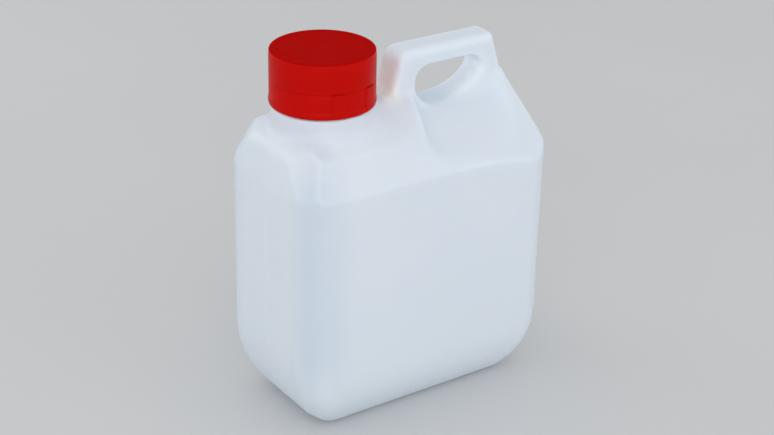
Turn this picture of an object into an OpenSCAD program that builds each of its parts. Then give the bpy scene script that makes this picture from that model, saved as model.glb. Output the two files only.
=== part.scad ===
// Small jerrycan: a blow-moulded can with a grip handle, a screw cap, a tamper ring and a sealing wad.
// The origin is the middle of the base, on the surface that the can stands on.
// +X points from the neck towards the handle, +Y to the back and +Z up. All sizes are millimetres.

/* [Body] */
// Width of the body, from end to end
body_w = 136; // [126:1:150]
// Depth of the body, from front to back
body_d = 72; // [66:1:84]
// Height of the crease where the shoulders start
shoulder_z = 118.5; // [100:0.5:124]
// Radius of the upright corners
corner_r = 13; // [8:0.5:16]
// Thickness of the moulded wall
wall = 1.1; // [0.9:0.1:1.8]

/* [Base] */
// How far each end draws in towards the base
end_draw = 10.6; // [6:0.1:14]
// Height over which the ends draw in
end_draw_h = 42; // [30:1:60]
// Radius under the ends
end_base_r = 16.8; // [8:0.1:20]
// How far the front and the back draw in towards the base
face_draw = 11.9; // [6:0.1:14]
// Height over which the front and the back draw in
face_draw_h = 34.6; // [25:0.1:60]
// Radius under the front and the back
face_base_r = 4; // [3:0.1:8]
// Slope of the cut under each corner, in degrees past upright
base_cut = 34; // [20:1:45]
// Height at which that cut leaves the corner
base_cut_z = 23; // [16:1:28]
// Width of the rim that the can stands on
foot_w = 6; // [4:0.5:9]
// Height of the hollow inside that rim
foot_h = 1.2; // [0.6:0.1:2]
// Radius of that hollow's corners
foot_corner_r = 8; // [4:0.5:12]

/* [Shoulders] */
// Height of the shoulders, from the crease up to their ridge
ridge_h = 30.5; // [28:0.5:33]
// Height of the bend, above the crease, where the shoulders flatten towards the neck
bend_h = 18; // [14:0.5:20]
// How far the front and the back lean in up to the bend
bend_in = 7.5; // [5:0.5:10]
// How far the end beside the neck leans in up to the bend
end_bend_in = 3; // [1:0.5:5]
// Size of the chamfer over that end
end_edge = 4; // [2:0.5:6]
// How far the far end leans in up to the ridge
heel_in = 10.5; // [8:0.5:13]
// Slope of the shoulders below the handle, in degrees
lean = 50.2; // [46:0.2:54]
// Turn of those shoulders towards the far end, in degrees
lean_turn = 7.6; // [4:0.2:10]
// Slope of the hips, the corners of the shoulders, in degrees
hip_lean = 55.2; // [50:0.2:60]
// Slope of the hips beside the neck, in degrees
near_hip_lean = 59.5; // [50:0.5:66]
// Turn of the hips away from the front, in degrees
hip_turn = 55; // [45:1:60]

/* [Handle] */
// Thickness of the handle, from front to back
handle_t = 16; // [13:0.5:20]
// Radius of the handle's long edges
handle_edge_r = 4.5; // [3:0.1:6]
// Height of the handle above the ridge
handle_h = 19; // [17:0.5:22]
// Distance of the handle's near end from the neck's axis
handle_reach = 35; // [33:0.5:37]
// How far the handle's far end leans in from the heel
handle_in = 4.5; // [2:0.5:6]
// How far the handle's near end spreads down to the shoulders
handle_spread = 5; // [2:0.5:7]
// Radius of the handle's outer corners
handle_corner_r = 8; // [7:0.5:12]
// Width of the handle's post beside the cap
near_post = 9; // [7.5:0.5:12]
// Width of its far post
far_post = 5; // [4:0.5:8]
// Height of the grip over the finger hole
grip_h = 8; // [7:0.5:11]
// Depth of the finger hole's floor below the ridge
hole_drop = 9; // [7:0.5:11]
// Radius of the finger hole's upper corners
hole_corner_r = 8; // [5:0.5:9]
// Radius of its lower corner beside the cap
hole_near_r = 12; // [8:0.5:12]
// Length of the long curve at its lower far corner
hole_sweep = 24; // [12:1:26]
// Height of that long curve
hole_rise = 12; // [8:0.5:12]
// Slope of the finger scoops below the hole, in degrees
scoop_slope = 32.5; // [30:0.5:36]
// Height of the scoops' lowest edge above the crease
scoop_rise = 7; // [4:0.5:9]
// Radius of the scoops' lower corners
scoop_r = 12; // [8:0.5:14]
// How far the scoops widen downwards beside the neck
scoop_flare = 3; // [0:0.5:4]

/* [Neck] */
// Distance of the neck's axis from the end beside it
neck_inset = 30.5; // [29:0.5:34]
// Outer radius of the neck
neck_r = 20; // [19.5:0.1:20.2]
// Wall of the neck
neck_wall = 2.2; // [1.6:0.1:3]
// Radius of the boss under the tamper ring
boss_r = 23.2; // [22.8:0.1:23.4]
// Height of the boss above the ridge
boss_h = 1.5; // [1:0.1:3]
// Radius of the bead that keeps the tamper ring on
bead_r = 21.5; // [21.2:0.1:21.7]
// Height of the bead at its root
bead_h = 3.2; // [2:0.1:3.6]
// Height of its rounded crest
bead_crest_h = 0.6; // [0.2:0.1:1]
// Size of the chamfers on the rim
rim_edge = 0.6; // [0.4:0.1:0.8]

/* [Thread] */
// Rise of the thread in one turn
lead = 4; // [3:0.5:6]
// Length of each thread, in turns
thread_turns = 1.5; // [1:0.25:2]
// Height of the thread's start above the bead's middle
thread_rise = 7; // [6.5:0.1:8]
// Height of the neck above the thread's end
rim_rise = 2.4; // [1.8:0.1:4]
// Depth of the thread's ridge
thread_depth = 1.4; // [0.8:0.1:1.5]
// Width of the ridge where it leaves the wall
thread_root_w = 1.7; // [1.2:0.1:2]
// Width of the ridge at its crest
thread_crest_w = 0.8; // [0.4:0.1:1]
// Length over which each thread runs out at its ends, in turns
thread_fade = 0.15; // [0.1:0.05:0.25]
// Clearance between the cap and the neck, beside the thread
thread_gap = 0.4; // [0.3:0.05:0.6]

/* [Cap] */
// Thickness of the cap's side wall
cap_wall = 1.5; // [1.2:0.1:2]
// Thickness of the cap's top
cap_top_t = 1.7; // [1.2:0.1:2.4]
// Radius of the cap's upper edge
cap_edge_r = 1.1; // [0.6:0.1:1.6]
// Thickness of the sealing wad
wad_t = 1.5; // [1:0.1:2.5]
// Gap between the wad and the rim, and between the ring and what is next to it
seat_gap = 0.3; // [0.2:0.05:0.5]
// Slack between the wad and the cap's top
wad_slack = 0.1; // [0.1:0.05:0.3]

/* [Tamper ring] */
// Height of the ring
ring_h = 10.9; // [8:0.1:12]
// How far the ring reaches below the bead's middle
ring_drop = 5.8; // [5:0.1:6.5]
// Wall of the ring
ring_wall = 1.3; // [1:0.1:1.6]
// Height of the rounded band at the ring's lower edge
band_h = 3.2; // [2:0.1:4]
// How far that band stands out
band_t = 0.3; // [0.1:0.1:0.6]
// Height of the lip inside the ring, which catches under the bead
lip_h = 1.6; // [1:0.1:2]
// Clearance between that lip and the neck
lip_gap = 0.5; // [0.3:0.1:0.8]
// Height of the slit between the ring and the cap
slit_h = 0.6; // [0.5:0.1:1]
// Number of bridges across the slit
bridges = 12; // [6:1:18]
// Width of a bridge
bridge_w = 1; // [0.6:0.1:1.6]
// Width of a raised pad on the ring
pad_w = 6.4; // [4:0.1:9]
// How far a pad stands out
pad_t = 0.6; // [0.4:0.1:1]
// Angle between the two pads on a side
pad_spread = 43; // [30:1:60]
// Turn of the pads from the front, in degrees
pad_turn = 6; // [-45:1:45]

/* [Hidden] */
$fn = 72;
corner_steps = 6;
eps = 0.01;

// Base and shoulders
half_w = body_w / 2;
half_d = body_d / 2;
foot_a = half_w - draw(0, end_draw, end_draw_h, end_base_r) - foot_w;
foot_b = half_d - draw(0, face_draw, face_draw_h, face_base_r) - foot_w;
bend_z = shoulder_z + bend_h;
ridge_z = shoulder_z + ridge_h;
heel_x = half_w - heel_in;

// Handle and finger hole
neck_x = neck_inset - half_w;
handle_near_x = neck_x + handle_reach;
handle_far_x = heel_x - handle_in;
handle_z = ridge_z + handle_h;
hole_near_x = handle_near_x + near_post;
hole_far_x = handle_far_x - far_post;
hole_top_z = handle_z - grip_h;
hole_floor_z = ridge_z - hole_drop;
scoop_z = shoulder_z + scoop_rise;

// Neck, from its boss up to its rim
boss_z = ridge_z + boss_h;
ring_z = boss_z + seat_gap;
bead_z = ring_z + ring_drop;
thread_z = bead_z + thread_rise;
rim_z = thread_z + lead * thread_turns + rim_rise;
bore_r = neck_r - neck_wall;
thread_r = neck_r + thread_depth;

// Cap, ring and wad, all set from the neck
cap_in_r = thread_r + thread_gap;
cap_r = cap_in_r + cap_wall;
wad_z = rim_z + seat_gap;
cap_in_z = wad_z + wad_t + wad_slack;
cap_z = cap_in_z + cap_top_t;
ring_r = cap_r;
ring_in_r = ring_r - ring_wall;
ring_top = ring_z + ring_h;
skirt_z = ring_top + slit_h;
lip_z = bead_z - bead_h / 2 - seat_gap;
bridge_h = slit_h - seat_gap;

// Inward draw of a wall at height z, with a round of radius r under it
function draw(z, depth, height, r) =
    let (slope = atan(depth / height), middle = depth * (1 - r / height) + r / cos(slope))
    z < r * (1 - sin(slope)) ? middle - sqrt(r * r - pow(r - z, 2)) : max(0, depth * (1 - z / height));

// A quarter of an ellipse, starting at an angle
function quarter(x, y, rx, ry, from) =
    [for (k = [0 : corner_steps]) let (t = from + 90 * k / corner_steps) [x + rx * cos(t), y + ry * sin(t)]];

// One side of an upright profile, from the base up to the crease, set in by i
function flank(half, depth, height, r, i) =
    let (slope = atan(depth / height))
    concat(
        [for (k = [0 : corner_steps])
            let (z = (r - i) * (1 - cos((90 - slope) * k / corner_steps)))
            [half - i - draw(z, depth * (1 - i / height), height - i, r - i), z + i]],
        [[half - i, height], [half - i, shoulder_z - i / 2]]);

// The points of a list in turn, from last to first, with x changed in sign
function mirrored(points) = [for (k = [len(points) - 1 : -1 : 0]) [-points[k][0], points[k][1]]];

// A rectangle with round corners, from its half sizes
module round_square(a, b, r) {
    square([2 * a, 2 * (b - r)], center = true);
    square([2 * (a - r), 2 * b], center = true);
    for (x = [r - a, a - r], y = [r - b, b - r])
        translate([x, y])
            circle(r);
}

// Everything behind a plane through a point: it faces the front, turned in plan and leant back
module behind(point, turn, slope, i) {
    big = 4 * body_w;
    translate(point)
        rotate([0, 0, turn])
            rotate([slope, 0, 0])
                translate([-big / 2, -big / 2, -big - i])
                    cube(big);
}

// What the slanting planes leave of the can, set in by i
module slants(i) {
    out = [half_w - corner_r + corner_r * sin(hip_turn), corner_r - half_d - corner_r * cos(hip_turn)];
    heel = [heel_x - handle_t / 2, -handle_t / 2, ridge_z];
    intersection() {
        behind(heel, lean_turn, lean, i);
        behind([out[0], out[1], shoulder_z], hip_turn, hip_lean, i);
        behind([-out[0], out[1], shoulder_z], -hip_turn, near_hip_lean, i);
        behind([out[0], out[1], base_cut_z], hip_turn, 90 + base_cut, i);
        behind([-out[0], out[1], base_cut_z], -hip_turn, 90 + base_cut, i);
    }
}

// The can without its handle, set in by i: the block below the crease, and over it
// the shoulders, which lean in to the ridge that the handle stands on
module belly(i) {
    far = concat(flank(half_w, end_draw, end_draw_h, end_base_r, i), [[heel_x - i, ridge_z - i]]);
    bend = half_w - end_bend_in - i;
    near = concat(flank(half_w, end_draw, end_draw_h, end_base_r, i),
        [[bend, bend_z - i], [bend - end_edge, bend_z + end_edge - i], [-neck_x, ridge_z - i]]);
    face = concat(flank(half_d, face_draw, face_draw_h, face_base_r, i),
        [[half_d - bend_in - i, bend_z - i], [handle_t / 2 - i, ridge_z - i]]);
    intersection() {
        linear_extrude(ridge_z)
            round_square(half_w - i, half_d - i, corner_r - i);
        rotate([90, 0, 0])
            linear_extrude(2 * body_d, center = true)
                polygon(concat(far, mirrored(near)));
        rotate([90, 0, 90])
            linear_extrude(2 * body_w, center = true)
                polygon(concat(face, mirrored(face)));
        slants(i);
        mirror([0, 1, 0])
            slants(i);
    }
}

// The handle before its finger hole is cut
module handle(i) {
    r = handle_corner_r - i;
    edge = handle_edge_r - i;
    half_t = handle_t / 2 - i;
    top = handle_z - i;
    far = handle_far_x - i;
    near = handle_near_x + i;
    foot_x = heel_x - handle_t / 2;
    intersection() {
        rotate([90, 0, 0])
            linear_extrude(handle_t, center = true)
                polygon(concat(
                    [[heel_x - i, ridge_z - i]],
                    quarter(far - r, top - r, r, r, 0),
                    quarter(near + r, top - r, r, r, 90),
                    [[near - handle_spread, bend_z], [near, shoulder_z], [foot_x, shoulder_z]]));
        rotate([90, 0, 90])
            linear_extrude(2 * body_w, center = true)
                polygon(concat(
                    quarter(half_t - edge, top - edge, edge, edge, 0),
                    quarter(edge - half_t, top - edge, edge, edge, 90),
                    [[-half_t, 0], [half_t, 0]]));
    }
}

// The finger hole's outline, let out by i
module hole_outline(i) {
    near = hole_near_x - i;
    far = hole_far_x + i;
    top = hole_top_z + i;
    low = hole_floor_z - i;
    r = hole_corner_r + i;
    near_r = hole_near_r + i;
    polygon(concat(
        quarter(far - r, top - r, r, r, 0), quarter(near + r, top - r, r, r, 90),
        quarter(near + near_r, low + near_r, near_r, near_r, 180),
        quarter(far - hole_sweep, low + hole_rise, hole_sweep, hole_rise, 270)));
}

// The finger hole, through from front to back
module finger_hole(i) {
    rotate([90, 0, 0])
        linear_extrude(2 * handle_t, center = true)
            hole_outline(i);
}

// The scoop below the hole at the front: it slopes down and out from the handle's face
module scoop(i) {
    near = hole_near_x - i;
    far = hole_far_x + i;
    top = hole_top_z + i;
    reach = body_d;
    start = handle_t / 2 - i;
    low = hole_floor_z - i;
    r = scoop_r + i;
    intersection() {
        rotate([90, 0, 90])
            linear_extrude(body_w)
                polygon([[-start, low], [-start, top], [-reach, top],
                    [-reach, low - (reach - start) * tan(scoop_slope)]]);
        rotate([90, 0, 0])
            linear_extrude(body_d)
                polygon(concat(
                    [[far, top], [near, top], [near, ridge_z]],
                    quarter(near - scoop_flare + r, scoop_z - i + r, r, r, 180),
                    quarter(far - r, scoop_z - i + r, r, r, 270)));
    }
}

// The can's form, set in by i
module form(i) {
    difference() {
        union() {
            belly(i);
            handle(i);
        }
        finger_hole(i);
        scoop(i);
        mirror([0, 1, 0])
            scoop(i);
        foot_hollow(i);
    }
}

// The hollow in the base, inside the rim that the can stands on
module foot_hollow(i) {
    translate([0, 0, -eps])
        linear_extrude(foot_h + i + eps)
            round_square(foot_a + i, foot_b + i, foot_corner_r + i);
}

// A helical ridge on a wall of radius r, standing out by side = 1 or in by side = -1
module thread(r, side, start_z, start_turn) {
    steps = 40;
    count = ceil(steps * thread_turns);
    root = neck_wall / 4;
    rings = [for (k = [0 : count])
        let (turn = k / steps, angle = 360 * (turn + start_turn), z = start_z + lead * turn,
             ease = min(1, eps + min(turn, thread_turns - turn) / thread_fade), depth = thread_depth * ease)
        [for (p = [[-root, -thread_root_w / 2], [depth, -thread_crest_w / 2], [depth, thread_crest_w / 2],
                 [-root, thread_root_w / 2]])
            let (rr = r + side * p[0]) [rr * cos(angle), rr * sin(angle), z + side * p[1]]]];
    n = 4;
    points = [for (ring = rings) each ring];
    sides = [for (j = [0 : count - 1], k = [0 : n - 1])
        let (p = j * n + k, q = j * n + (k + 1) % n) each [[p, q, q + n], [p, q + n, p + n]]];
    polyhedron(points, concat([[3, 2, 1, 0]], sides, [[for (k = [0 : n - 1]) count * n + k]]));
}

// The neck and its boss, solid
module neck() {
    rotate_extrude()
        polygon([
            [0, shoulder_z], [boss_r, shoulder_z], [boss_r, boss_z], [neck_r, boss_z],
            [neck_r, bead_z - bead_h / 2], [bead_r, bead_z - bead_crest_h / 2],
            [bead_r, bead_z + bead_crest_h / 2], [neck_r, bead_z + bead_h / 2],
            [neck_r, rim_z - rim_edge], [neck_r - rim_edge, rim_z], [0, rim_z]]);
}

// The way through the neck and into the can
module throat() {
    low_r = boss_r - neck_wall;
    throat_z = boss_z - neck_wall;
    rotate_extrude()
        polygon([
            [0, shoulder_z], [low_r, shoulder_z], [low_r, throat_z - boss_r + bore_r], [bore_r, throat_z],
            [bore_r, rim_z - rim_edge], [bore_r + rim_edge, rim_z + eps], [0, rim_z + eps]]);
}

module can_body() {
    color([0.83, 0.87, 0.9])
        difference() {
            union() {
                form(0);
                translate([neck_x, 0, 0]) {
                    neck();
                    thread(neck_r, 1, thread_z, 0);
                }
            }
            form(wall);
            translate([neck_x, 0, 0])
                throat();
        }
}

module screw_cap() {
    color([0.72, 0.02, 0.01])
        translate([neck_x, 0, 0]) {
            rotate_extrude()
                polygon(concat(
                    [[0, cap_in_z], [cap_in_r, cap_in_z], [cap_in_r, skirt_z], [cap_r, skirt_z]],
                    quarter(cap_r - cap_edge_r, cap_z - cap_edge_r, cap_edge_r, cap_edge_r, 0),
                    [[0, cap_z]]));
            thread(cap_in_r, -1, thread_z, 0.5);
        }
}

module tamper_ring() {
    color([0.72, 0.02, 0.01])
        translate([neck_x, 0, 0]) {
            rotate_extrude()
                polygon([
                    [ring_in_r, ring_z], [ring_r, ring_z], [ring_r + band_t, ring_z + band_h / 3],
                    [ring_r + band_t, ring_z + band_h * 2 / 3], [ring_r, ring_z + band_h],
                    [ring_r, ring_top], [ring_in_r, ring_top], [ring_in_r, lip_z], [neck_r + lip_gap, lip_z],
                    [neck_r + lip_gap, lip_z - lip_h / 2], [ring_in_r, lip_z - lip_h]]);
            for (side = [0, 180], pad = [-1, 1])
                rotate([0, 0, side + pad_turn + pad * pad_spread / 2])
                    pad();
            for (k = [0 : bridges - 1])
                rotate([0, 0, 360 * (k + 0.5) / bridges])
                    bridge();
        }
}

// A pad on the ring's outside, at its front
module pad() {
    intersection() {
        difference() {
            translate([0, 0, ring_z + band_h / 3])
                cylinder(r = ring_r + pad_t, h = ring_h - band_h / 3);
            translate([0, 0, ring_z])
                cylinder(r = ring_r - ring_wall / 2, h = ring_h + eps);
        }
        translate([-pad_w / 2, -ring_r - body_w, ring_z])
            cube([pad_w, body_w + ring_wall, ring_h]);
    }
}

// What is left on the ring of a bridge that held the cap
module bridge() {
    translate([ring_in_r, -bridge_w / 2, ring_top - ring_wall])
        cube([ring_wall - band_t, bridge_w, ring_wall + bridge_h]);
}

module sealing_wad() {
    color([0.93, 0.92, 0.88])
        translate([neck_x, 0, wad_z])
            cylinder(r = cap_in_r - seat_gap, h = wad_t);
}

can_body();
screw_cap();
tamper_ring();
sealing_wad();
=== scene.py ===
"""Looks of a small blow-moulded jerrycan with a red screw cap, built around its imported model.

Sizes are in millimetres until a mesh is made, and metres after that. The origin is the middle of
the base, +X points from the neck towards the handle, +Y to the back and +Z up.
"""
import math

import bmesh
import bpy
import numpy as np
from mathutils import Matrix, Vector


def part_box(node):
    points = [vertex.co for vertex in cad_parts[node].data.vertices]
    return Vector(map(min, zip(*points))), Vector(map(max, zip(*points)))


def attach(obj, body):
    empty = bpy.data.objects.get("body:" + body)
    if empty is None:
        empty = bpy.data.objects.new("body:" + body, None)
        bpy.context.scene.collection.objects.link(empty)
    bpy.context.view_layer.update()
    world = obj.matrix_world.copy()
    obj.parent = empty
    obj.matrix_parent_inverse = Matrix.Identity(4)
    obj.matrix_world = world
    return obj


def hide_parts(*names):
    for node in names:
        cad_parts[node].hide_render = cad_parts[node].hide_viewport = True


MM = 0.001

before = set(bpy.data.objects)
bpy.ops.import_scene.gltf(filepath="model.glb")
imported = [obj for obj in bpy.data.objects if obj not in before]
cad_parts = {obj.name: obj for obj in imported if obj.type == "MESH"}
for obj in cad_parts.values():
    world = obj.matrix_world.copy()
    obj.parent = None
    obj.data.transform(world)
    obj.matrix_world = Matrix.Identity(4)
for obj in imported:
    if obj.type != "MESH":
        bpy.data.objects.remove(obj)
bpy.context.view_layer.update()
can_low, can_high = [np.array(corner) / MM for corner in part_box("can_body")]
cap_low, cap_high = [np.array(corner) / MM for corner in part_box("screw_cap")]
ring_low = np.array(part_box("tamper_ring")[0]) / MM
wad_low, wad_high = [np.array(corner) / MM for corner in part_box("sealing_wad")]

# Parting line of the mould: its height and width, and where it rises out of the base
FLASH, FLASH_W = 0.16, 0.28
FLASH_FROM_Z, FLASH_FADE = 3, 3

# Body, from the CAD box, less the height of the parting line that stands out of it
HALF_W = can_high[0] - FLASH
HALF_D = can_high[1]
WALL = 1.1
CREASE_Z = 118.5
CORNER_R = 13

# Base: how far the ends and the faces draw in, over which height and how sharply they curve, and the
# radius of the edge under them
END_DRAW, END_DRAW_H, END_CURVE, END_BASE_R = 14.1, 40.4, 2.2, 17
FACE_DRAW, FACE_DRAW_H, FACE_CURVE, FACE_BASE_R = 11.8, 31.2, 2.4, 4.6
# The draws go on to this share of their height, a little below the floor, so that the edge stays round
DRAW_LIMIT = 1.2
# Radius of the upright corners at the floor, and the height and the curve with which it grows
BASE_CORNER_R, BASE_CORNER_H, BASE_CORNER_CURVE = 10.1, 37.5, 1.3
# Turn from a side to the floor, in degrees, and the width over which the two edges' radii meet
BASE_TURN, BASE_MEET = 65, 8
# Hollow inside the rim that the can stands on
FOOT_HALF_W, FOOT_HALF_D = 38.3, 15.2
FOOT_H = 1.2
FOOT_R = 8
FOOT_SOFT, FOOT_RIM_SOFT = 1, 0.8

# Shoulders
RIDGE_Z = 148.8
BEND_Z = 135.6
BEND_IN = 7.5
END_BEND_IN = 3
END_EDGE = 3.6
HEEL_X = 57
LEAN, LEAN_TURN = 50.2, 7.6
HIP_TURN = 55
FAR_HIP, FAR_HIP_Z = 56.6, 119.6
NEAR_HIP, NEAR_HIP_Z = 61.3, 120
# Blends that round the edges of the shoulders' faces
CREASE_SOFT, LEAN_SOFT, FAR_END_SOFT, NEAR_END_SOFT = 0.5, 1.5, 0.6, 0.3
FAR_HIP_SOFT, NEAR_HIP_SOFT = 1.2, 1.4
BEND_SOFT, END_EDGE_SOFT, RIDGE_SOFT = 1.2, 2.8, 1.5

# Handle, finger hole and scoops
HANDLE_HALF_T = 8
HANDLE_Z = 168
HANDLE_NEAR_X, HANDLE_FAR_X = -2.5, 53.5
GRIP_H = 8
HANDLE_SPREAD = 5.5
HANDLE_NEAR_SOFT, HANDLE_FAR_SOFT, HANDLE_EDGE_SOFT = 5.8, 1.6, 4.4
HANDLE_FOOT_SOFT = 3
HOLE_NEAR_X, HOLE_FAR_X = 7.6, 45.2
HOLE_TOP_Z, HOLE_FLOOR_Z = 159.6, 140.3
HOLE_NEAR_R, HOLE_TOP_R = 11, 8
HOLE_SWEEP, HOLE_RISE = 28.6, 18.4
# How far the hole's cut passes the handle's faces, and how softly it ends there
HOLE_PAST, HOLE_PAST_SOFT = 2, 1
SCOOP_NEAR_X, SCOOP_FLARE, SCOOP_FAR_X = 6.5, 3, 48
SCOOP_SLOPE, SCOOP_Z, SCOOP_R = 32.5, 125.5, 12
SCOOP_FLARE_SOFT, SCOOP_FLOOR_SOFT = 2, 5

# Edges of the scoops and the hole: their blend, and what is added to it at the far post and at the
# scoops' foot
SCOOP_SOFT, SCOOP_POST_SOFT, SCOOP_FOOT_SOFT = 3.5, 5.5, 5
HOLE_SOFT, HOLE_POST_SOFT = 2.2, 4.3
# The far post's softness grows along X, and fades upwards from a little below the hole's top
POST_FROM_X, POST_TO_X = 18, 44
POST_DROP, POST_FADE = 2, 6
# The foot's softness fades upwards between these heights
SCOOP_FOOT_Z, SCOOP_HEAD_Z = 126, 150

# Neck
NECK_X = (cap_low[0] + cap_high[0]) / 2
NECK_R = 20
BORE_R = 17.8
RIM_Z = can_high[2]
RIM_EDGE = 0.6
SEAT_GAP = 0.3
BOSS_R = 23.2
BOSS_Z = ring_low[2] - SEAT_GAP
BOSS_SOFT = 1.5
# Fillet under the boss, and what is added to it beside the neck, away from the near end
BOSS_FILLET, BOSS_SIDE_FILLET = 3, 6
BOSS_SIDE_FROM_Y, BOSS_SIDE_TO_Y = 8, 20
BOSS_SIDE_FROM_X, BOSS_SIDE_TO_X = -56, -44
BEAD_RISE, THREAD_RISE = 6.1, 7
BEAD_R, BEAD_Z, BEAD_H, BEAD_EDGE = 21.5, BOSS_Z + BEAD_RISE, 3.2, 0.3
LEAD, THREAD_TURNS = 4, 1.5
THREAD_Z = BEAD_Z + THREAD_RISE
THREAD_DEPTH, THREAD_ROOT, THREAD_CREST = 1.4, 1.7, 0.8
THREAD_FADE = 0.15
THREAD_TOP = THREAD_Z + LEAD * THREAD_TURNS
THREAD_MARGIN = 0.2
# How far the neck's section reaches into the boss, and the throat's cut below and above the boss's top
NECK_SINK = 1.6
THROAT_DOWN, THROAT_UP = 8, 1

# Cap: the photograph shows it a little wider than its solid
CAP_WIDER = 0.35
CAP_R = cap_high[0] - NECK_X + CAP_WIDER
CAP_IN_R = 21.8
CAP_TOP_T = 1.7
CAP_IN_Z = cap_high[2] - CAP_TOP_T
CAP_IN_EDGE = 0.5
CAP_EDGE = 0.95
# The fine step under the rounded edge: its lower and upper ends below the top, and its depth
STEP_LOW, STEP_HIGH, STEP_IN = 2.3, 2.15, 0.12
CAP_TAPER = 0.02
# The painted shade that darkens the top starts and is full this far below it
TOP_SHADE_LOW, TOP_SHADE_HIGH = 0.45, 0.2
# The border round the top, and how far the middle lies below it at its edge and at the axis
BORDER_W, BORDER_SLOPE, BORDER_SOFT = 3.2, 0.3, 0.5
DISH, DISH_MIDDLE = 0.12, 0.15

# Tamper ring, with the slit under the cap as narrow as the photograph shows it
SLIT = 0.08
RING_R = CAP_R
RING_WALL = 1.3
RING_TOP = cap_low[2] - SLIT
RING_EDGE = 0.25
BAND_H, BAND_T, BAND_SOFT, BAND_FADE = 3.2, 0.3, 0.4, 0.8
LIP_GAP, LIP_H = 0.5, 1.6
PAD_T, PAD_W, PAD_FADE = 0.6, 6.4, 1.2
# Turn of the pads from the front and the back, and the angle between the two on a side, in degrees
PAD_TURN, PAD_SPREAD = 6, 43
PAD_ANGLES = [side + PAD_TURN + pad * PAD_SPREAD / 2 for side in (270, 450) for pad in (-1, 1)]
BRIDGES = 12
STUB_SIZE = (0.9, 1.0, 0.4)
# Roundings of fine edges on the cap, the ring and the wad
CRISP, FINE = 0.1, 0.2

# Wad: its rounded edge, and the depth and the overhang of the ring that the rim presses into it
WAD_EDGE = 0.3
PRESS_DEPTH, PRESS_PAST = 0.12, 0.4

# Meshes: the grid steps of the can's outside and inside, and the finer ones at its parting line and base
OUTER_STEP, INNER_STEP = 1.15, 2.2
LINE_HALF, LINE_STEP = 0.75, 0.25
SOLE_LOW, SOLE_HIGH, SOLE_STEP = -0.3, 1.8, 0.35
# Columns round the turned pieces, and rows along their threads
COLUMNS, RING_COLUMNS, WAD_COLUMNS = 192, 360, 128
NECK_ROWS, CAP_ROWS = 38, 44
ROUND_POINTS = 5
# Points this close to a wall lie on it
ON_WALL, ON_RING = 0.01, 0.05
# Points this close are merged, and edges this short dissolved
MERGE, SLIVER = 0.01, 0.005
# Edges past these angles stay sharp in the shading, in degrees
SHARP, TURNED_SHARP, WAD_SHARP = 40, 32, 30

# Middle range of a noise, over which its colours and levels are spread
NOISE_LOW, NOISE_HIGH = 0.3, 0.7
WHITE = (1, 1, 1, 1)

# Camera fitted to the photograph: angles in degrees, distance and target in metres, and the focal
# length in pixels of the photograph's width
CAMERA_TURN, CAMERA_PITCH, CAMERA_ROLL = 34.88, 25.83, 1.2
CAMERA_DISTANCE, CAMERA_TARGET = 0.80832, (-0.0015, 0, 0.08418)
FOCAL_PX, PHOTO_W = 1728.09, 774


def smooth_max(a, b, r):
    """The larger of two distances, with the edge where they are equal rounded over r."""
    h = np.maximum(r - np.abs(a - b), 0)
    return np.maximum(a, b) + h * h / (4 * r)


def smooth_min(a, b, r):
    """The smaller of two distances, with the corner where they are equal filled over r."""
    return -smooth_max(-a, -b, r)


def above(p, at, normal):
    """Distance of the points p from a plane through a point, out along its normal."""
    n = np.array(normal, float)
    return (p - np.array(at, float)) @ (n / np.linalg.norm(n))


def slanted(turn, slope):
    """The normal of a face that leans back from upright, turned in plan away from the front."""
    t, s = math.radians(turn), math.radians(slope)
    return (math.sin(t) * math.sin(s), math.cos(t) * math.sin(s), math.cos(s))


def round_rectangle(u, v, half_u, half_v, r):
    """Distance from a rectangle with round corners, in a plane."""
    qu, qv = np.abs(u) - half_u + r, np.abs(v) - half_v + r
    outside = np.hypot(np.maximum(qu, 0), np.maximum(qv, 0))
    return outside + np.minimum(np.maximum(qu, qv), 0) - r


def soft(radius, turn):
    """The blend that rounds an edge to about this radius, between faces that turn by this angle."""
    return 4 * radius * (1 - math.cos(math.radians(turn / 2)))


def fade(value, low, high):
    """0 below one value and 1 above another, smooth between them."""
    t = np.clip((value - low) / (high - low), 0, 1)
    return t * t * (3 - 2 * t)


def drawn_in(half, z, draw, height, curve):
    """Half the body's width or depth at height z, where it curves in towards the base."""
    return half - draw * np.clip(1 - z / height, 0, DRAW_LIMIT) ** curve


def sides(x, y, z):
    """The body's four sides, its upright corners and the rounded edge under them."""
    half_w = drawn_in(HALF_W, z, END_DRAW, END_DRAW_H, END_CURVE)
    half_d = drawn_in(HALF_D, z, FACE_DRAW, FACE_DRAW_H, FACE_CURVE)
    grown = np.clip(z / BASE_CORNER_H, 0, 1) ** BASE_CORNER_CURVE
    upright = round_rectangle(x, y, half_w, half_d, BASE_CORNER_R + (CORNER_R - BASE_CORNER_R) * grown)
    face_soft, end_soft = soft(FACE_BASE_R, BASE_TURN), soft(END_BASE_R, BASE_TURN)
    towards_end = np.clip((np.abs(x) - half_w - y + half_d) / BASE_MEET + 0.5, 0, 1)
    return smooth_max(upright, -z, face_soft + (end_soft - face_soft) * towards_end)


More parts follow.
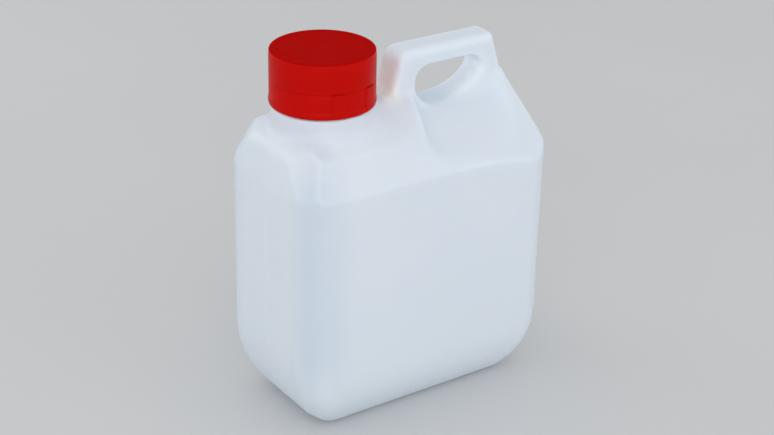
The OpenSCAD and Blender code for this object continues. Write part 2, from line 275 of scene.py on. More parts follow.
def block(p, x, y, z):
    """The body and its shoulders, up to their ridge."""
    out = math.radians(HIP_TURN)
    hip_x = HALF_W - CORNER_R + CORNER_R * math.sin(out)
    hip_y = HALF_D - CORNER_R + CORNER_R * math.cos(out)
    near_x, bend_y = END_BEND_IN - HALF_W, HALF_D - BEND_IN
    edge_x, edge_z = near_x + END_EDGE, BEND_Z + END_EDGE
    # each face as a point on it, its normal and the blend that rounds its edges: the front and the
    # back, the two ends, the hips, and then the faces round the neck
    faces = [((0, HALF_D, CREASE_Z), (0, BEND_Z - CREASE_Z, BEND_IN), CREASE_SOFT),
             ((HEEL_X - HANDLE_HALF_T, HANDLE_HALF_T, RIDGE_Z), slanted(LEAN_TURN, LEAN), LEAN_SOFT),
             ((HALF_W, 0, CREASE_Z), (RIDGE_Z - CREASE_Z, 0, HALF_W - HEEL_X), FAR_END_SOFT),
             ((-HALF_W, 0, CREASE_Z), (CREASE_Z - BEND_Z, 0, END_BEND_IN), NEAR_END_SOFT),
             ((hip_x, hip_y, FAR_HIP_Z), slanted(HIP_TURN, FAR_HIP), FAR_HIP_SOFT),
             ((-hip_x, hip_y, NEAR_HIP_Z), slanted(-HIP_TURN, NEAR_HIP), NEAR_HIP_SOFT),
             ((0, bend_y, BEND_Z), (0, RIDGE_Z - BEND_Z, bend_y - HANDLE_HALF_T), BEND_SOFT),
             ((near_x, 0, BEND_Z), (-1, 0, 1), END_EDGE_SOFT),
             ((edge_x, 0, edge_z), (edge_z - RIDGE_Z, 0, NECK_X - edge_x), END_EDGE_SOFT)]
    f = sides(x, y, z)
    for at, normal, rounding in faces:
        f = smooth_max(f, above(p, at, normal), rounding)
    return smooth_max(f, z - RIDGE_Z, RIDGE_SOFT)


def scoop(p, x, z):
    """The space of the finger scoops, over a floor that slopes down from the handle to each face."""
    slope = math.radians(SCOOP_SLOPE)
    floor = -above(p, (0, HANDLE_HALF_T, HOLE_FLOOR_Z), (0, math.sin(slope), math.cos(slope)))
    near, tall = SCOOP_NEAR_X - SCOOP_FLARE, HANDLE_Z - SCOOP_Z
    outline = round_rectangle(x - (near + SCOOP_FAR_X) / 2, z - SCOOP_Z - tall / 2,
                              (SCOOP_FAR_X - near) / 2, tall / 2, SCOOP_R)
    flare = above(p, (SCOOP_NEAR_X, 0, RIDGE_Z), (SCOOP_Z + SCOOP_R - RIDGE_Z, 0, SCOOP_FLARE))
    return smooth_max(floor, smooth_max(outline, flare, SCOOP_FLARE_SOFT), SCOOP_FLOOR_SOFT)


def handle(p, x, y, z):
    """The handle before its finger hole is cut."""
    top = z - HANDLE_Z
    grip_z = HANDLE_Z - GRIP_H
    near = above(p, (HANDLE_NEAR_X, 0, grip_z), (BEND_Z - grip_z, 0, HANDLE_SPREAD))
    far = above(p, (HEEL_X, 0, RIDGE_Z), (grip_z - RIDGE_Z, 0, HEEL_X - HANDLE_FAR_X))
    foot = above(p, (HEEL_X, 0, RIDGE_Z), (RIDGE_Z - CREASE_Z, 0, -HANDLE_HALF_T))
    outline = smooth_max(smooth_max(top, near, HANDLE_NEAR_SOFT), np.maximum(far, foot), HANDLE_FAR_SOFT)
    return np.maximum(smooth_max(outline, y - HANDLE_HALF_T, HANDLE_EDGE_SOFT), CREASE_Z - z)


def finger_hole(x, y, z):
    """The finger hole: a round corner beside the cap, and one long curve from its floor up its far side."""
    middle, half = (HOLE_NEAR_X + HOLE_FAR_X) / 2, (HOLE_FAR_X - HOLE_NEAR_X) / 2
    tall = HOLE_TOP_Z - HOLE_FLOOR_Z
    upper = round_rectangle(x - middle, z - HOLE_TOP_Z + tall, half, tall, HOLE_TOP_R)
    u, v = x - HOLE_NEAR_X - HOLE_NEAR_R, z - HOLE_FLOOR_Z - HOLE_NEAR_R
    near = np.where((u < 0) & (v < 0), np.hypot(u, v) - HOLE_NEAR_R, HOLE_FLOOR_Z - z)
    u, v = (x - HOLE_FAR_X) / HOLE_SWEEP + 1, (z - HOLE_FLOOR_Z) / HOLE_RISE - 1
    reach, steep = np.hypot(u, v), np.hypot(u / HOLE_SWEEP, v / HOLE_RISE)
    sweep = np.where((u > 0) & (v < 0), (reach - 1) * reach / np.maximum(steep, 1e-6), -half)
    outline = np.maximum(upper, np.maximum(near, sweep))
    return smooth_max(outline, y - HANDLE_HALF_T - HOLE_PAST, HOLE_PAST_SOFT)


def boss(x, y, z):
    """The boss under the tamper ring."""
    r = np.hypot(x - NECK_X, y)
    return np.maximum(smooth_max(r - BOSS_R, z - BOSS_Z, BOSS_SOFT), CREASE_Z - z)


def can_form(p):
    """Distance of points from the can's outside, up to its boss, without the parting line."""
    x, y, z = p[:, 0], np.abs(p[:, 1]), p[:, 2]
    q = np.column_stack([x, y, z])
    post = fade(x, POST_FROM_X, POST_TO_X) * np.clip((HOLE_TOP_Z - POST_DROP - z) / POST_FADE, 0, 1)
    foot = 1 - fade(z, SCOOP_FOOT_Z, SCOOP_HEAD_Z)
    scoop_edge = SCOOP_SOFT + SCOOP_POST_SOFT * post + SCOOP_FOOT_SOFT * foot * (1 - post)
    beside_neck = fade(y, BOSS_SIDE_FROM_Y, BOSS_SIDE_TO_Y) * fade(x, BOSS_SIDE_FROM_X, BOSS_SIDE_TO_X)
    f = smooth_max(block(q, x, y, z), -scoop(q, x, z), scoop_edge)
    f = smooth_min(f, handle(q, x, y, z), HANDLE_FOOT_SOFT)
    f = smooth_max(f, -finger_hole(x, y, z), HOLE_SOFT + HOLE_POST_SOFT * post)
    f = smooth_min(f, boss(x, y, z), BOSS_FILLET + BOSS_SIDE_FILLET * beside_neck)
    hollow = smooth_max(round_rectangle(x, y, FOOT_HALF_W, FOOT_HALF_D, FOOT_R), z - FOOT_H, FOOT_SOFT)
    return smooth_max(f, -hollow, FOOT_RIM_SOFT)


def outside(p):
    """The can's outside with the parting line of its mould, which runs round it at the middle."""
    line = FLASH * np.exp(-((p[:, 1] / FLASH_W) ** 2))
    return can_form(p) - line * np.clip((p[:, 2] - FLASH_FROM_Z) / FLASH_FADE, 0, 1)


def inside(p):
    """The can's inside, one wall in from its outside."""
    return can_form(p) + WALL


def grid_lines(low, high, step, fine_low=0, fine_high=0, fine=None):
    """Places of grid lines from low to high, closer together in one stretch."""
    lines = np.arange(low, high + step, step)
    if fine is None:
        return lines
    lines = lines[(lines < fine_low - step / 3) | (lines > fine_high + step / 3)]
    return np.sort(np.concatenate([lines, np.arange(fine_low, fine_high + fine / 2, fine)]))


def surface_net(form, xs, ys, zs):
    """The surface where a distance is zero, as one vertex in each grid cell that it crosses."""
    grid = np.stack(np.meshgrid(xs, ys, zs, indexing="ij"), -1)
    value = np.concatenate([form(slab.reshape(-1, 3)) for slab in grid]).reshape(grid.shape[:3])
    inside_grid = value < 0
    shape = tuple(n - 1 for n in value.shape)
    corners = [(i, j, k) for i in (0, 1) for j in (0, 1) for k in (0, 1)]

    def at(array, c):
        return array[c[0]:c[0] + shape[0], c[1]:c[1] + shape[1], c[2]:c[2] + shape[2]]

    total = np.zeros(shape + (3,))
    count = np.zeros(shape)
    for a in corners:
        for axis in range(3):
            if a[axis]:
                continue
            b = tuple(1 if n == axis else a[n] for n in range(3))
            va, vb = at(value, a), at(value, b)
            crossed = (va < 0) != (vb < 0)
            t = np.where(crossed, va / np.where(crossed, va - vb, 1), 0)[..., None]
            point = at(grid, a) * (1 - t) + at(grid, b) * t
            total += np.where(crossed[..., None], point, 0)
            count += crossed
    cells = count > 0
    index = np.full(shape, -1)
    index[cells] = np.arange(cells.sum())
    vertices = total[cells] / count[cells][:, None]
    faces = []
    for axis in range(3):
        u, v = (axis + 1) % 3, (axis + 2) % 3
        first = [slice(1, -1)] * 3
        first[axis] = slice(0, -1)
        second = list(first)
        second[axis] = slice(1, None)
        a, b = inside_grid[tuple(first)], inside_grid[tuple(second)]
        where = np.argwhere(a != b) + [0 if n == axis else 1 for n in range(3)]
        leaving = a[a != b]
        quad = []
        for du, dv in ((0, 0), (1, 0), (1, 1), (0, 1)):
            cell = where.copy()
            cell[:, u] -= 1 - du
            cell[:, v] -= 1 - dv
            quad.append(index[tuple(cell.T)])
        quad = np.array(quad).T
        quad[~leaving] = quad[~leaving][:, ::-1]
        faces.append(quad)
    return vertices, np.concatenate(faces)


def settle(vertices, form, rounds=4):
    """Moves vertices along the form's gradient until they lie on its surface."""
    reach, flattest, longest = 0.02, 0.2, 0.8
    for _ in range(rounds):
        f = form(vertices)
        slope = np.stack([(form(vertices + d) - form(vertices - d)) / (2 * reach)
                          for d in np.eye(3) * reach], 1)
        length = np.maximum((slope ** 2).sum(1), flattest)
        vertices = vertices - np.clip(f / length, -longest, longest)[:, None] * slope
    return vertices


def ridge(z, turns, side):
    """How far a helical thread stands out at heights z and at these turns round the neck."""
    rise = np.zeros(np.broadcast(z, turns).shape)
    for lap in (-1, 0, 1, 2):
        t = turns + lap
        away = np.abs(z - THREAD_Z - LEAD * t)
        flank = np.clip((THREAD_ROOT / 2 - away) / ((THREAD_ROOT - THREAD_CREST) / 2), 0, 1)
        ends = np.clip(np.minimum(t, THREAD_TURNS - t) / THREAD_FADE, 0, 1)
        rise = np.maximum(rise, THREAD_DEPTH * flank * ends)
    return rise * side


def rounded(corners):
    """A section's outline from its corners (radius, height, rounding), each cut by a short curve."""
    points = []
    for i, (r, z, round_r) in enumerate(corners):
        here = np.array([r, z], float)
        if not round_r:
            points.append(here)
            continue
        before = np.array(corners[i - 1][:2], float) - here
        after = np.array(corners[(i + 1) % len(corners)][:2], float) - here
        a = here + before / np.linalg.norm(before) * round_r
        b = here + after / np.linalg.norm(after) * round_r
        for t in np.linspace(0, 1, ROUND_POINTS):
            points.append(a * (1 - t) ** 2 + here * 2 * t * (1 - t) + b * t ** 2)
    return np.array(points)


def steps(r, z_from, z_to, count):
    """Plain corners down or up a wall, close enough to carry a thread."""
    return [(r, z, 0) for z in np.linspace(z_from, z_to, count)]


def lathe(corners, columns, relief=None):
    """Vertices and faces of a section turned about the neck's axis, with relief on its walls.

    A section that starts and ends on the axis is closed there by fans, any other is a ring."""
    section = rounded(corners)
    solid = section[0, 0] < 1e-6
    rows = section[1:-1] if solid else section
    angle = np.arange(columns) * 2 * np.pi / columns
    r = np.repeat(rows[:, :1], columns, 1)
    z = np.repeat(rows[:, 1:], columns, 1)
    if relief:
        r = r + relief(r, z, angle[None, :])
    points = np.stack([NECK_X + r * np.cos(angle), r * np.sin(angle), z], -1).reshape(-1, 3)
    count = len(rows)
    faces = []
    for i in range(count - 1 if solid else count):
        a, b = i * columns, (i + 1) % count * columns
        for k in range(columns):
            m = (k + 1) % columns
            faces.append((a + k, a + m, b + m, b + k))
    if solid:
        poles = [[NECK_X, 0, section[0, 1]], [NECK_X, 0, section[-1, 1]]]
        first, last = len(points), len(points) + 1
        points = np.concatenate([points, poles])
        low = (count - 1) * columns
        for k in range(columns):
            m = (k + 1) % columns
            faces.append((first, m, k))
            faces.append((last, low + k, low + m))
    return points, faces


def mesh_object(name, vertices, faces, sharp=SHARP):
    """A piece from points in millimetres: outward faces, smooth with sharp edges past an angle."""
    mesh = bpy.data.meshes.new(name)
    mesh.from_pydata((np.asarray(vertices) * MM).tolist(), [], [tuple(int(i) for i in f) for f in faces])
    mesh.validate()
    piece = bpy.data.objects.new(name, mesh)
    bpy.context.collection.objects.link(piece)
    face_out(piece)
    shade(mesh, sharp)
    return piece


def face_out(piece):
    """Turns every face of a closed piece outwards."""
    bm = bmesh.new()
    bm.from_mesh(piece.data)
    bmesh.ops.recalc_face_normals(bm, faces=bm.faces)
    bm.to_mesh(piece.data)
    bm.free()


def shade(mesh, sharp):
    """Smooth shading that keeps edges sharper than an angle in degrees."""
    mesh.shade_smooth()
    mesh.set_sharp_from_angle(angle=math.radians(sharp))


def combine(piece, other, operation):
    """Joins, cuts or keeps what two closed pieces share, and removes the second."""
    step = piece.modifiers.new("combine", "BOOLEAN")
    step.operation = operation
    step.solver = "MANIFOLD"
    step.object = other
    result = bpy.data.meshes.new_from_object(piece.evaluated_get(bpy.context.evaluated_depsgraph_get()))
    piece.modifiers.clear()
    piece.data = result
    bpy.data.objects.remove(other)
    return piece


def mend(piece):
    """Merges the points that a cut leaves almost on each other, and drops faces without area."""
    bm = bmesh.new()
    bm.from_mesh(piece.data)
    bmesh.ops.remove_doubles(bm, verts=bm.verts, dist=MERGE * MM)
    bmesh.ops.dissolve_degenerate(bm, edges=bm.edges, dist=SLIVER * MM)
    bmesh.ops.triangulate(bm, faces=[face for face in bm.faces if len(face.verts) > 4])
    bm.to_mesh(piece.data)
    bm.free()


def can_net(name, form, step, fine):
    """A closed mesh of one of the can's surfaces, with the grid finer at the parting line and the base."""
    pad = 2 * step
    xs = grid_lines(can_low[0] - pad, can_high[0] + pad, step)
    half = math.ceil((HALF_D + pad) / step) * step
    top = HANDLE_Z + pad
    if fine:
        ys = grid_lines(-half, half, step, -LINE_HALF, LINE_HALF, LINE_STEP)
        zs = grid_lines(-pad, top, step, SOLE_LOW, SOLE_HIGH, SOLE_STEP)
    else:
        ys = grid_lines(-half, half, step)
        zs = grid_lines(-pad, top, step)
    vertices, faces = surface_net(form, xs, ys, zs)
    return mesh_object(name, settle(vertices, form), faces)


def neck_section():
    """The neck's closed section: boss top, bead, thread and rim outside, the bore inside."""
    foot = BOSS_Z - NECK_SINK
    outer = [(NECK_R, foot, 0), (NECK_R, BEAD_Z - BEAD_H / 2, BEAD_EDGE),
             (BEAD_R, BEAD_Z - BEAD_EDGE, BEAD_EDGE), (BEAD_R, BEAD_Z + BEAD_EDGE, BEAD_EDGE),
             (NECK_R, BEAD_Z + BEAD_H / 2, BEAD_EDGE)]
    past = THREAD_ROOT / 2 + THREAD_MARGIN
    threaded = steps(NECK_R, THREAD_Z - past, THREAD_TOP + past, NECK_ROWS)
    rim = [(NECK_R, RIM_Z, RIM_EDGE), (BORE_R, RIM_Z, RIM_EDGE), (BORE_R, foot, 0)]
    return outer + threaded + rim


def make_can():
    """The can: one moulding with its outer and inner surfaces, its boss, neck and thread."""
    can = can_net("can", outside, OUTER_STEP, True)
    neck = mesh_object("neck", *lathe(neck_section(), COLUMNS, neck_relief))
    combine(can, neck, "UNION")
    hollow = can_net("hollow", inside, INNER_STEP, False)
    combine(can, hollow, "DIFFERENCE")
    low, high = BOSS_Z - THROAT_DOWN, BOSS_Z + THROAT_UP
    throat = [(0, low, 0), (BORE_R, low, 0), (BORE_R, high, 0), (0, high, 0)]
    combine(can, mesh_object("throat", *lathe(throat, COLUMNS)), "DIFFERENCE")
    mend(can)
    shade(can.data, SHARP)
    return can


def neck_relief(r, z, angle):
    """The thread on the neck's outside."""
    wall = (np.abs(r - NECK_R) < ON_WALL) & (z > BEAD_Z + BEAD_H)
    return np.where(wall, ridge(z, angle / (2 * np.pi), 1), 0)


def cap_relief(r, z, angle):
    """The thread inside the cap, half a turn on from the neck's."""
    wall = np.abs(r - CAP_IN_R) < ON_WALL
    return np.where(wall, ridge(z, angle / (2 * np.pi) - 0.5, -1), 0)


def make_cap():
    """The screw cap: a smooth side, a fine step under its rounded edge, a flat top, the thread inside."""
    skirt = cap_low[2]
    top = cap_high[2]
    corners = [(0, CAP_IN_Z, 0), (CAP_IN_R, CAP_IN_Z, CAP_IN_EDGE)]
    corners += steps(CAP_IN_R, THREAD_TOP + THREAD_ROOT, THREAD_Z - THREAD_ROOT / 2, CAP_ROWS)
    corners += [(CAP_IN_R, skirt, FINE), (CAP_R, skirt, CRISP), (CAP_R, top - STEP_LOW, STEP_IN),
                (CAP_R - STEP_IN, top - STEP_HIGH, CRISP), (CAP_R - STEP_IN - CAP_TAPER, top, CAP_EDGE),
                (CAP_R - BORDER_W, top, BORDER_SOFT), (CAP_R - BORDER_W - BORDER_SLOPE, top - DISH, FINE),
                (0, top - DISH_MIDDLE, 0)]
    return mesh_object("cap", *lathe(corners, COLUMNS, cap_relief), sharp=TURNED_SHARP)


def ring_relief(r, z, angle):
    """The raised pads on the ring's outside, two at the front and two at the back."""
    degrees = np.degrees(angle)
    half = math.degrees(PAD_W / 2 / RING_R)
    pads = np.zeros(np.broadcast(r, degrees).shape)
    for centre in PAD_ANGLES:
        off = np.abs((degrees - centre + 180) % 360 - 180)
        pads = np.maximum(pads, np.clip((half - off) / PAD_FADE, 0, 1))
    wall = (r > RING_R - ON_RING) & (z > ring_low[2] + BAND_H / 3)
    level = RING_R + PAD_T - r
    return np.where(wall, pads * np.maximum(level, 0), 0)


def make_ring():
    """The tamper ring: a band at its lower edge, raised pads, and a lip inside that catches the bead."""
    low = ring_low[2]
    inner = RING_R - RING_WALL
    lip = BEAD_Z - BEAD_H / 2 - SEAT_GAP
    corners = [(inner, low, FINE), (RING_R, low, RING_EDGE), (RING_R + BAND_T, low + BAND_H / 3, BAND_SOFT),
               (RING_R + BAND_T, low + BAND_H * 2 / 3, BAND_SOFT), (RING_R, low + BAND_H, BAND_T),
               (RING_R, low + BAND_H + BAND_FADE, 0), (RING_R, RING_TOP, CRISP), (inner, RING_TOP, FINE),
               (inner, lip, 0), (NECK_R + LIP_GAP, lip, CRISP), (NECK_R + LIP_GAP, lip - LIP_H / 2, CRISP),
               (inner, lip - LIP_H, CRISP)]
    return mesh_object("ring", *lathe(corners, RING_COLUMNS, ring_relief), sharp=TURNED_SHARP)


def bridge_tree(material):
    """A node tree that stands the stubs of the broken bridges in a circle on the ring."""
    tree = bpy.data.node_groups.new("bridge_stubs", "GeometryNodeTree")
    face = tree.interface
    face.new_socket("Geometry", in_out="OUTPUT", socket_type="NodeSocketGeometry")
    inputs = {}
    for name, kind, value in (("Count", "NodeSocketInt", BRIDGES), ("Radius", "NodeSocketFloat", 0.0),
                              ("Height", "NodeSocketFloat", 0.0), ("Size", "NodeSocketVector", (0, 0, 0))):
        socket = face.new_socket(name, in_out="INPUT", socket_type=kind)
        socket.default_value = value
        inputs[name] = socket.identifier
    add, link = tree.nodes.new, tree.links.new
    given, out = add("NodeGroupInput"), add("NodeGroupOutput")
    circle, points = add("GeometryNodeMeshCircle"), add("GeometryNodeInstanceOnPoints")
    stub, place = add("GeometryNodeMeshCube"), add("GeometryNodeTransform")
    lift = add("ShaderNodeCombineXYZ")
    around, realize = add("FunctionNodeAlignRotationToVector"), add("GeometryNodeRealizeInstances")
    finish = add("GeometryNodeSetMaterial")
    position = add("GeometryNodeInputPosition")
    link(given.outputs["Count"], circle.inputs["Vertices"])
    link(given.outputs["Radius"], circle.inputs["Radius"])
    link(given.outputs["Size"], stub.inputs["Size"])
    link(circle.outputs["Mesh"], points.inputs["Points"])
    link(stub.outputs["Mesh"], points.inputs["Instance"])
    around.axis = "X"
    link(position.outputs["Position"], around.inputs["Vector"])
    link(around.outputs["Rotation"], points.inputs["Rotation"])
    link(given.outputs["Height"], lift.inputs["Z"])
    lift.inputs["X"].default_value = NECK_X * MM
    link(points.outputs["Instances"], place.inputs["Geometry"])
    link(lift.outputs["Vector"], place.inputs["Translation"])
    link(place.outputs["Geometry"], realize.inputs["Geometry"])
    link(realize.outputs["Geometry"], finish.inputs["Geometry"])
    finish.inputs["Material"].default_value = material
    link(finish.outputs["Geometry"], out.inputs["Geometry"])
    return tree, inputs


def make_bridges(material):
    """The stubs on the ring's upper edge, where its bridges to the cap broke."""
    carrier = bpy.data.objects.new("bridge_stubs", bpy.data.meshes.new("bridge_stubs"))
    bpy.context.collection.objects.link(carrier)
    tree, inputs = bridge_tree(material)
    step = carrier.modifiers.new("stubs", "NODES")
    step.node_group = tree
    step[inputs["Count"]] = BRIDGES
    step[inputs["Radius"]] = (RING_R - RING_WALL / 2) * MM
    step[inputs["Height"]] = RING_TOP * MM
    step[inputs["Size"]] = tuple(size * MM for size in STUB_SIZE)
    mesh = bpy.data.meshes.new_from_object(carrier.evaluated_get(bpy.context.evaluated_depsgraph_get()))
    carrier.modifiers.clear()
    carrier.data = mesh
    return carrier


def make_wad():
    """The sealing wad: a foamed disc with the faint ring that the rim presses into it."""
    r = (wad_high[0] - wad_low[0]) / 2
    low, top = wad_low[2], wad_high[2]
    pressed = low + PRESS_DEPTH
    corners = [(0, low, 0), (BORE_R - PRESS_PAST, low, FINE), (BORE_R, pressed, FINE),
               (NECK_R, pressed, FINE), (NECK_R + PRESS_PAST, low, FINE),
               (r, low, WAD_EDGE), (r, top, WAD_EDGE), (0, top, 0)]
    return mesh_object("wad", *lathe(corners, WAD_COLUMNS), sharp=WAD_SHARP)


def new_material(name):
    """A new material, its node tree and the tree's Principled shader."""
    material = bpy.data.materials.new(name)
    material.use_nodes = True
    tree = material.node_tree
    tree.nodes.clear()
    output = tree.nodes.new("ShaderNodeOutputMaterial")
    shader = tree.nodes.new("ShaderNodeBsdfPrincipled")
    tree.links.new(shader.outputs["BSDF"], output.inputs["Surface"])
    return material, tree, shader


def noise(tree, scale, stretch=(1, 1, 1), detail=3, roughness=0.5):
    """Noise on the object's own coordinates, stretched along its axes."""
    place = tree.nodes.new("ShaderNodeTexCoord")
    mapping = tree.nodes.new("ShaderNodeMapping")
    mapping.inputs["Scale"].default_value = stretch
    pattern = tree.nodes.new("ShaderNodeTexNoise")
    pattern.inputs["Scale"].default_value = scale
    pattern.inputs["Detail"].default_value = detail
    pattern.inputs["Roughness"].default_value = roughness
    tree.links.new(place.outputs["Object"], mapping.inputs["Vector"])
    tree.links.new(mapping.outputs["Vector"], pattern.inputs["Vector"])
    return pattern.outputs["Fac"]


def ramp(tree, factor, stops):
    """Colours spread along a factor, from (place, colour) stops."""
    node = tree.nodes.new("ShaderNodeValToRGB")
    elements = node.color_ramp.elements
    while len(elements) < len(stops):
        elements.new(0.5)
    for element, (place, colour) in zip(elements, stops):
        element.position = place
        element.color = (*colour, 1)
    tree.links.new(factor, node.inputs["Fac"])
    return node.outputs["Color"]


def mottle(tree, factor, low, high):
    """Two close colours spread over a noise's middle range."""
    return ramp(tree, factor, [(NOISE_LOW, low), (NOISE_HIGH, high)])


def spread(tree, factor, low, high):
    """A noise's middle range spread between two values."""
    node = tree.nodes.new("ShaderNodeMapRange")
    node.inputs["From Min"].default_value = NOISE_LOW
    node.inputs["From Max"].default_value = NOISE_HIGH
    node.inputs["To Min"].default_value = low
    node.inputs["To Max"].default_value = high
    tree.links.new(factor, node.inputs["Value"])
    return node.outputs["Result"]


def bump(tree, height, strength, distance, below=None):
    """A bump from a height, on top of another."""
    node = tree.nodes.new("ShaderNodeBump")
    node.inputs["Strength"].default_value = strength
    node.inputs["Distance"].default_value = distance
    tree.links.new(height, node.inputs["Height"])
    if below:
        tree.links.new(below, node.inputs["Normal"])
    return node.outputs["Normal"]


def place_factor(tree, axis, low, high, both_ways=False):
    """0 at one place along an axis and 1 at another, in millimetres, or both ways from the middle."""
    place = tree.nodes.new("ShaderNodeTexCoord")
    split = tree.nodes.new("ShaderNodeSeparateXYZ")
    node = tree.nodes.new("ShaderNodeMapRange")
    node.interpolation_type = "SMOOTHSTEP"
    node.inputs["From Min"].default_value = low * MM
    node.inputs["From Max"].default_value = high * MM
    tree.links.new(place.outputs["Object"], split.inputs["Vector"])
    along = split.outputs[axis]
    if both_ways:
        along = math_node(tree, "ABSOLUTE", along, 0)
    tree.links.new(along, node.inputs["Value"])
    return node.outputs["Result"]


def zone(tree, *limits):
    """1 in a zone of the can and 0 away from it, from its limits (axis, low, high, both ways)."""
    factor = place_factor(tree, *limits[0])
    for limit in limits[1:]:
        factor = math_node(tree, "MULTIPLY", factor, place_factor(tree, *limit))
    return factor


def math_node(tree, operation, a, b):
    """One sum or product of two factors."""
    node = tree.nodes.new("ShaderNodeMath")
    node.operation = operation
    for value, socket in ((a, node.inputs[0]), (b, node.inputs[1])):
        if isinstance(value, bpy.types.NodeSocket):
            tree.links.new(value, socket)
        else:
            socket.default_value = value
    return node.outputs["Value"]


def mix(tree, factor, a, b):
    """Two colours mixed by a factor."""
    node = tree.nodes.new("ShaderNodeMix")
    node.data_type = "RGBA"
    for value, socket in ((factor, node.inputs[0]), (a, node.inputs[6]), (b, node.inputs[7])):
        if isinstance(value, bpy.types.NodeSocket):
            tree.links.new(value, socket)
        else:
            socket.default_value = value
    return node.outputs[2]


def multiply(tree, a, b):
    """Two colours multiplied."""
    node = tree.nodes.new("ShaderNodeMix")
    node.data_type = "RGBA"
    node.blend_type = "MULTIPLY"
    node.inputs[0].default_value = 1
    tree.links.new(a, node.inputs[6])
    tree.links.new(b, node.inputs[7])
    return node.outputs[2]


def milky_plastic():
    """Natural blow-moulded plastic: milky, slightly bluish and faintly cloudy, with a satin skin."""
    material, tree, shader = new_material("milky_plastic")
    clouds = noise(tree, 24, detail=4)
    upper = mottle(tree, clouds, (0.715, 0.815, 0.945), (0.74, 0.822, 0.95))
    lower = mottle(tree, clouds, (0.69, 0.80, 0.90), (0.71, 0.80, 0.905))
    colour = mix(tree, place_factor(tree, "Z", -20, 90), lower, upper)
    # painted shade: the upright corners below the neck are darkened, where less light falls on them
    corner = zone(tree, ("X", -40, -66), ("Y", 18, 35, True), ("Z", 15, 45))
    colour = multiply(tree, colour, mix(tree, corner, WHITE, (0.845, 0.865, 0.895, 1)))
    # painted light: the handle's end beside the cap is made whiter and more neutral, lifting the shade and
    # the red bounce that the cap casts on it
    beside = zone(tree, ("X", -1, -4), ("X", -12, -9), ("Z", 144, 151))
    colour = mix(tree, beside, colour, (0.89, 0.975, 0.955, 1))
    # painted light: the far wall of the finger hole, at its web, is made paler, lifting the shade inside
    # the hole
    far_wall_light = zone(tree, ("X", 24, 36), ("Y", 8.5, 5, True), ("Z", 159, 155), ("Z", 130, 138), ("X", 50, 46))
    colour = mix(tree, far_wall_light, colour, (0.84, 0.91, 0.97, 1))
    # painted highlight: the parting line is drawn bright on the handle's end, as if its ridge caught the
    # light
    seam_highlight = math_node(tree, "MULTIPLY", beside, place_factor(tree, "Y", 0.5, 0.3, True))
    colour = mix(tree, seam_highlight, colour, (0.95, 1, 0.99, 1))
    # painted reflection and shade: a red bounce from the ring and a little shade darken the neck's boss
    red_bounce_shade = zone(tree, ("Z", 137, 147), ("X", -8, -18))
    colour = multiply(tree, colour, mix(tree, red_bounce_shade, WHITE, (0.955, 0.925, 0.93, 1)))
    tree.links.new(colour, shader.inputs["Base Color"])
    tree.links.new(spread(tree, noise(tree, 60, detail=3), 0.36, 0.44), shader.inputs["Roughness"])
    shader.inputs["IOR"].default_value = 1.53
    shader.inputs["Specular IOR Level"].default_value = 0.4
    shader.inputs["Subsurface Weight"].default_value = 0.5
    shader.inputs["Subsurface Radius"].default_value = (0.9, 1.0, 1.1)
    shader.inputs["Subsurface Scale"].default_value = 0.004
    waves = bump(tree, noise(tree, 45, detail=2), strength=0.15, distance=0.001)
    skin = bump(tree, noise(tree, 1500, detail=3), strength=0.1, distance=0.0001, below=waves)
    tree.links.new(skin, shader.inputs["Normal"])
    return material


def red_plastic():
    """Red plastic of the cap and ring: deep and even under a soft gloss, with painted shade darkening the
    cap's top.
    """
    material, tree, shader = new_material("red_plastic")
    side = mottle(tree, noise(tree, 55, (1, 1, 2), detail=4), (0.50, 0.003, 0.0015), (0.535, 0.004, 0.002))
    # painted shade: the cap's top gets a darker red, as less light falls on it than on the side
    top = mottle(tree, noise(tree, 40, detail=4), (0.43, 0.002, 0.001), (0.455, 0.0025, 0.0015))
    flat = place_factor(tree, "Z", cap_high[2] - TOP_SHADE_LOW, cap_high[2] - TOP_SHADE_HIGH)
    tree.links.new(mix(tree, flat, side, top), shader.inputs["Base Color"])
    tree.links.new(spread(tree, noise(tree, 140, detail=3), 0.3, 0.38), shader.inputs["Roughness"])
    # the cap mirrors little, and its flat top almost nothing
    gloss = tree.nodes.new("ShaderNodeMapRange")
    gloss.inputs["To Min"].default_value = 1.12
    gloss.inputs["To Max"].default_value = 1.02
    tree.links.new(flat, gloss.inputs["Value"])
    tree.links.new(gloss.outputs["Result"], shader.inputs["IOR"])
    waves = bump(tree, noise(tree, 90, detail=2), strength=0.1, distance=0.0004)
    tree.links.new(waves, shader.inputs["Normal"])
    return material


def wad_foam():
    """The wad's foamed plastic: matt, white and full of fine pores."""
    material, tree, shader = new_material("wad_foam")
    colour = mottle(tree, noise(tree, 300, detail=3), (0.80, 0.79, 0.74), (0.88, 0.87, 0.83))
    tree.links.new(colour, shader.inputs["Base Color"])
    shader.inputs["Roughness"].default_value = 0.75
    pores = bump(tree, noise(tree, 2200, detail=2), strength=0.4, distance=0.0001)
    tree.links.new(pores, shader.inputs["Normal"])
    return material


def floor_paint():
    """Plain pale floor, with a very faint mottle."""
    material, tree, shader = new_material("pale_floor")
    colour = mottle(tree, noise(tree, 3, detail=3), (0.62, 0.62, 0.62), (0.64, 0.64, 0.64))
    tree.links.new(colour, shader.inputs["Base Color"])
    shader.inputs["Roughness"].default_value = 0.7
    shader.inputs["Specular IOR Level"].default_value = 0.2
    return material


def dress(piece, material, body, node):
    """Gives a piece its finish and the body it moves with, and hides the solid it stands for."""
    piece.data.materials.clear()
    piece.data.materials.append(material)
    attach(piece, body)
    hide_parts(node)


def make_floor():
    """The floor under the can and far round it."""
    half = 6
    corners = [(-half, -half, 0), (half, -half, 0), (half, half, 0), (-half, half, 0)]
    mesh = bpy.data.meshes.new("floor")
    mesh.from_pydata(corners, [], [(0, 1, 2, 3)])
    mesh.materials.append(floor_paint())
    floor = bpy.data.objects.new("floor", mesh)
    bpy.context.collection.objects.link(floor)


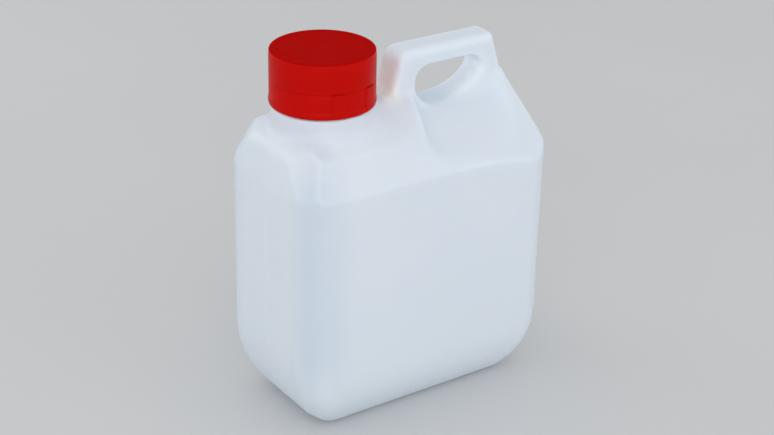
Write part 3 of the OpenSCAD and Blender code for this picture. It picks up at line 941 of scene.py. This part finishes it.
def aim(obj, place, target, roll=0):
    """Puts a lamp or camera at a place, looking at a target, turned about its own axis."""
    ahead = (Vector(target) - Vector(place)).normalized()
    right = ahead.cross(Vector((0, 0, 1))).normalized()
    up = right.cross(ahead)
    r = math.radians(roll)
    right, up = right * math.cos(r) + up * math.sin(r), up * math.cos(r) - right * math.sin(r)
    rotation = Matrix((right, up, -ahead)).transposed().to_4x4()
    obj.matrix_world = Matrix.Translation(Vector(place)) @ rotation


def make_camera():
    """The camera at the photograph's viewing angle."""
    turn, pitch = math.radians(CAMERA_TURN), math.radians(CAMERA_PITCH)
    target = Vector(CAMERA_TARGET)
    ahead = Vector((math.sin(turn) * math.cos(pitch), math.cos(turn) * math.cos(pitch), -math.sin(pitch)))
    data = bpy.data.cameras.new("camera")
    data.sensor_width = 36
    data.lens = FOCAL_PX / PHOTO_W * data.sensor_width
    data.clip_start, data.clip_end = 0.05, 30
    camera = bpy.data.objects.new("camera", data)
    bpy.context.collection.objects.link(camera)
    aim(camera, target - ahead * CAMERA_DISTANCE, target, CAMERA_ROLL)
    bpy.context.scene.camera = camera


def softbox(name, place, target, width, height, power):
    """A soft rectangular lamp."""
    data = bpy.data.lights.new(name, "AREA")
    data.shape = "RECTANGLE"
    data.size, data.size_y = width, height
    data.energy = power
    lamp = bpy.data.objects.new(name, data)
    bpy.context.collection.objects.link(lamp)
    aim(lamp, place, target)


def surround():
    """Even pale light from all sides: brightest from the horizon down, and weakest halfway up."""
    world = bpy.data.worlds.new("surround")
    world.use_nodes = True
    tree = world.node_tree
    place = tree.nodes.new("ShaderNodeTexCoord")
    split = tree.nodes.new("ShaderNodeSeparateXYZ")
    tree.links.new(place.outputs["Generated"], split.inputs["Vector"])
    levels = [(height, (0.97 * level, 0.985 * level, level)) for height, level in
              ((0, 0.89), (0.3, 0.8), (0.6, 0.76), (1, 0.86))]
    tree.links.new(ramp(tree, split.outputs["Z"], levels), tree.nodes["Background"].inputs["Color"])
    tree.nodes["Background"].inputs["Strength"].default_value = 1
    bpy.context.scene.world = world


def make_lights():
    """A broad lamp behind the camera, weaker ones in front on the right and at the back on the left."""
    middle = (0, 0, 0.1)
    softbox("main_light", (-0.826, -1.271, 0.45), middle, width=1.2, height=0.8, power=6.2)
    softbox("right_light", (0.8, -1.36, 0.43), middle, width=1.0, height=0.8, power=1.9)
    softbox("back_light", (-0.98, 1.17, 0.5), middle, width=1.0, height=0.8, power=3.0)
    surround()


make_camera()
make_lights()
make_floor()
milky, red, foam = milky_plastic(), red_plastic(), wad_foam()
dress(make_can(), milky, "can", "can_body")
dress(make_cap(), red, "cap", "screw_cap")
dress(make_ring(), red, "can", "tamper_ring")
bridges = make_bridges(red)
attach(bridges, "can")
dress(make_wad(), foam, "wad", "sealing_wad")
bpy.context.scene.view_settings.view_transform = "Standard"
